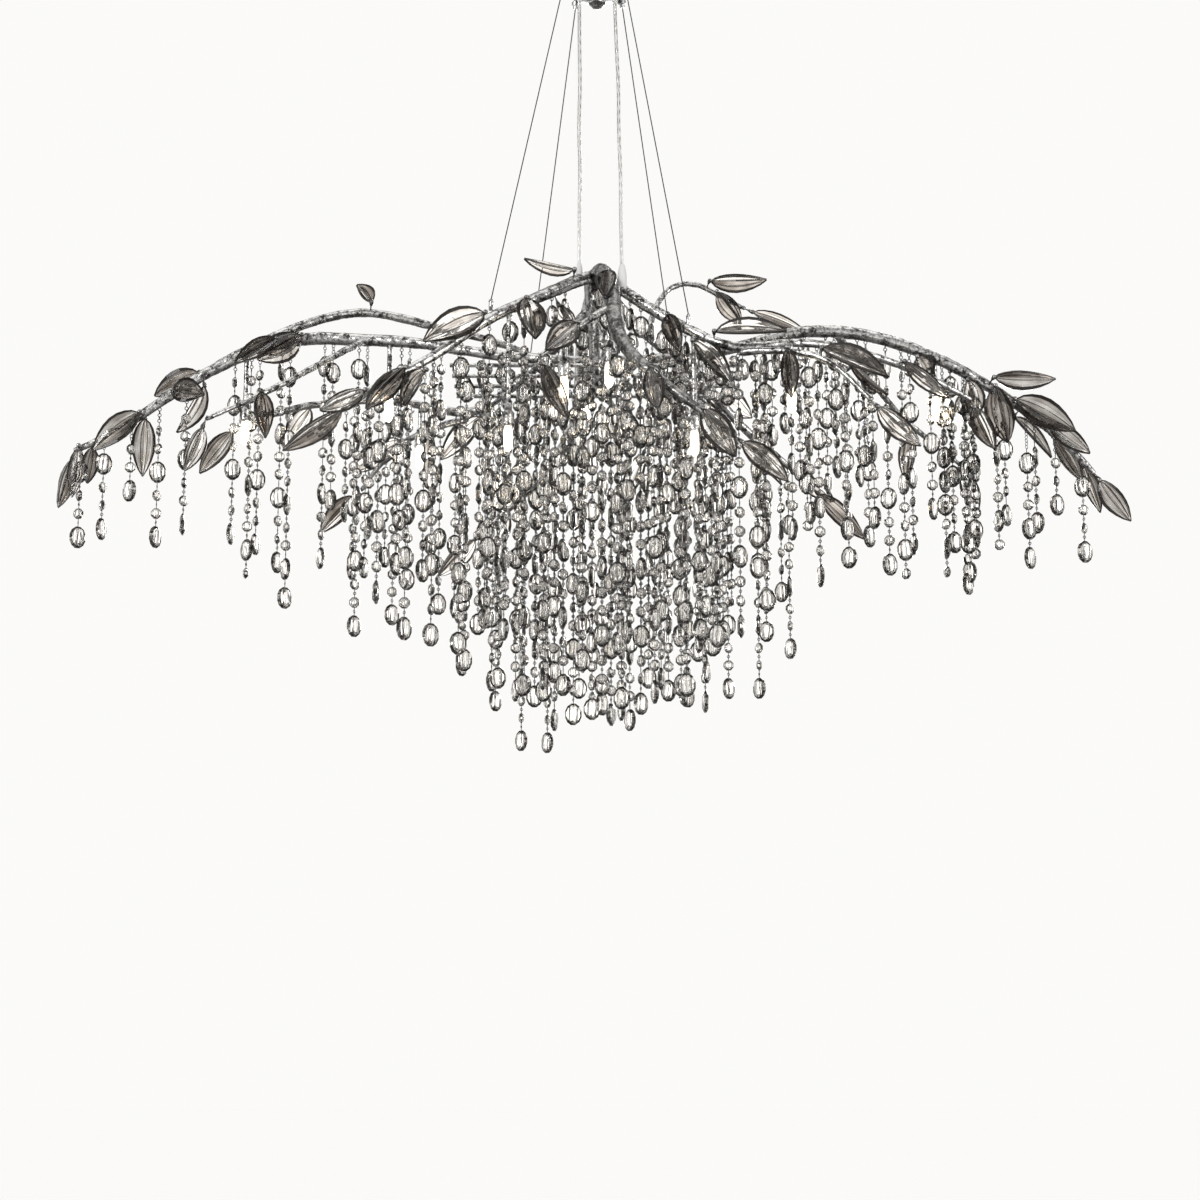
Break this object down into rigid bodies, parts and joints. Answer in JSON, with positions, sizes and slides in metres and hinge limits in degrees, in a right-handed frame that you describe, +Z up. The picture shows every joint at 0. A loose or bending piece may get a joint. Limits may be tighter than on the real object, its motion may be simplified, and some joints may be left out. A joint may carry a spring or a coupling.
{
  "type": "crystal chandelier",
  "caption": "Branch-form ceiling chandelier with hanging crystal strands, smoked glass leaves, downward lamps, four cables and a domed canopy.",
  "frame": {"origin": "centre of the canopy, on the ceiling plane", "axes": "+Z up into the ceiling, +X along the fixture's length to the right, -Y towards the front"},
  "size_m": [1.5214, 0.6456, 1.1309],
  "materials": {
    "silver_leaf": "antique silver leaf",
    "plain_steel": "plated",
    "cable_steel": "stranded",
    "clear_cord": "clear sleeve over twisted wires",
    "grey_plastic": "moulded",
    "lamp_glass": "frosted, lit warm white",
    "smoke_glass": "smoked",
    "clear_crystal": "cut and polished"
  },
  "bodies": {
    "frame": {"arc_left_branch": "silver_leaf", "bulbs": "lamp_glass", "cable_grippers": "plain_steel", "cable_stops": "silver_leaf", "canopy_cover": "silver_leaf", "canopy_finial": "silver_leaf", "canopy_stud": "plain_steel", "ceiling_bracket": "plain_steel", "cord_bushings": "grey_plastic", "cord_glands": "grey_plastic", "crown_hub": "silver_leaf", "far_centre_branch": "silver_leaf", "far_centre_strands": "clear_crystal", "far_leaves": "smoke_glass", "far_left_branch": "silver_leaf", "far_left_strands": "clear_crystal", "far_right_branch": "silver_leaf", "far_right_strands": "clear_crystal", "lamp_sockets": "silver_leaf", "lamp_stems": "silver_leaf", "leaf_stems": "silver_leaf", "left_leaves": "smoke_glass", "main_left_branch": "silver_leaf", "main_left_strands": "clear_crystal", "main_right_branch": "silver_leaf", "main_right_strands": "clear_crystal", "near_centre_branch": "silver_leaf", "near_centre_strands": "clear_crystal", "near_leaves": "smoke_glass", "near_left_branch": "silver_leaf", "near_left_strands": "clear_crystal", "near_right_branch": "silver_leaf", "near_right_strands": "clear_crystal", "power_cord_left": "clear_cord", "power_cord_right": "clear_cord", "right_leaves": "smoke_glass", "side_twigs": "silver_leaf", "strand_rods": "silver_leaf", "suspension_cable_far_left": "cable_steel", "suspension_cable_far_right": "cable_steel", "suspension_cable_near_left": "cable_steel", "suspension_cable_near_right": "cable_steel"},
    "left_strand_1": {"left_strand_1": "clear_crystal"},
    "left_strand_2": {"left_strand_2": "clear_crystal"},
    "left_strand_3": {"left_strand_3": "clear_crystal"},
    "left_strand_4": {"left_strand_4": "clear_crystal"},
    "left_strand_5": {"left_strand_5": "clear_crystal"},
    "left_strand_6": {"left_strand_6": "clear_crystal"},
    "right_strand_1": {"right_strand_1": "clear_crystal"},
    "right_strand_2": {"right_strand_2": "clear_crystal"},
    "right_strand_3": {"right_strand_3": "clear_crystal"},
    "right_strand_4": {"right_strand_4": "clear_crystal"},
    "right_strand_5": {"right_strand_5": "clear_crystal"},
    "right_strand_6": {"right_strand_6": "clear_crystal"},
    "back_row_strands": {"back_row_strands": "clear_crystal"},
    "front_row_strands": {"front_row_strands": "clear_crystal"},
    "second_row_strands": {"second_row_strands": "clear_crystal"},
    "third_row_strands": {"third_row_strands": "clear_crystal"}
  },
  "joints": [
    {"name": "left_strand_1_swing", "type": "hinge", "parent": "frame", "child": "left_strand_1", "pos_m": [-0.736, 0.00129, -0.72386], "axis": [1, 0, 0], "range_deg": [-4, 4]},
    {"name": "left_strand_2_swing", "type": "hinge", "parent": "frame", "child": "left_strand_2", "pos_m": [-0.704, 0.00588, -0.70885], "axis": [1, 0, 0], "range_deg": [-4, 4]},
    {"name": "left_strand_3_swing", "type": "hinge", "parent": "frame", "child": "left_strand_3", "pos_m": [-0.667, 0.01132, -0.68419], "axis": [1, 0, 0], "range_deg": [-4, 4]},
    {"name": "left_strand_4_swing", "type": "hinge", "parent": "frame", "child": "left_strand_4", "pos_m": [-0.629, 0.01791, -0.65734], "axis": [1, 0, 0], "range_deg": [-4, 4]},
    {"name": "left_strand_5_swing", "type": "hinge", "parent": "frame", "child": "left_strand_5", "pos_m": [-0.592, 0.02619, -0.62686], "axis": [1, 0, 0], "range_deg": [-4, 4]},
    {"name": "left_strand_6_swing", "type": "hinge", "parent": "frame", "child": "left_strand_6", "pos_m": [-0.49, 0.04301, -0.5674], "axis": [1, 0, 0], "range_deg": [-4, 4]},
    {"name": "right_strand_1_swing", "type": "hinge", "parent": "frame", "child": "right_strand_1", "pos_m": [0.69, -0.002, -0.7435], "axis": [1, 0, 0], "range_deg": [-4, 4]},
    {"name": "right_strand_2_swing", "type": "hinge", "parent": "frame", "child": "right_strand_2", "pos_m": [0.652, -0.00675, -0.70678], "axis": [1, 0, 0], "range_deg": [-4, 4]},
    {"name": "right_strand_3_swing", "type": "hinge", "parent": "frame", "child": "right_strand_3", "pos_m": [0.622, -0.01151, -0.68569], "axis": [1, 0, 0], "range_deg": [-4, 4]},
    {"name": "right_strand_4_swing", "type": "hinge", "parent": "frame", "child": "right_strand_4", "pos_m": [0.578, -0.01844, -0.6559], "axis": [1, 0, 0], "range_deg": [-4, 4]},
    {"name": "right_strand_5_swing", "type": "hinge", "parent": "frame", "child": "right_strand_5", "pos_m": [0.382, -0.035, -0.56875], "axis": [1, 0, 0], "range_deg": [-4, 4]},
    {"name": "right_strand_6_swing", "type": "hinge", "parent": "frame", "child": "right_strand_6", "pos_m": [0.444, -0.03255, -0.58901], "axis": [1, 0, 0], "range_deg": [-4, 4]},
    {"name": "back_row_strands_swing", "type": "hinge", "parent": "frame", "child": "back_row_strands", "pos_m": [0, 0.081, -0.62126], "axis": [1, 0, 0], "range_deg": [-1.5, 1.5]},
    {"name": "front_row_strands_swing", "type": "hinge", "parent": "frame", "child": "front_row_strands", "pos_m": [0, -0.081, -0.62126], "axis": [1, 0, 0], "range_deg": [-1.5, 1.5]},
    {"name": "second_row_strands_swing", "type": "hinge", "parent": "frame", "child": "second_row_strands", "pos_m": [0, -0.027, -0.62126], "axis": [1, 0, 0], "range_deg": [-1.5, 1.5]},
    {"name": "third_row_strands_swing", "type": "hinge", "parent": "frame", "child": "third_row_strands", "pos_m": [0, 0.027, -0.62126], "axis": [1, 0, 0], "range_deg": [-1.5, 1.5]}
  ]
}
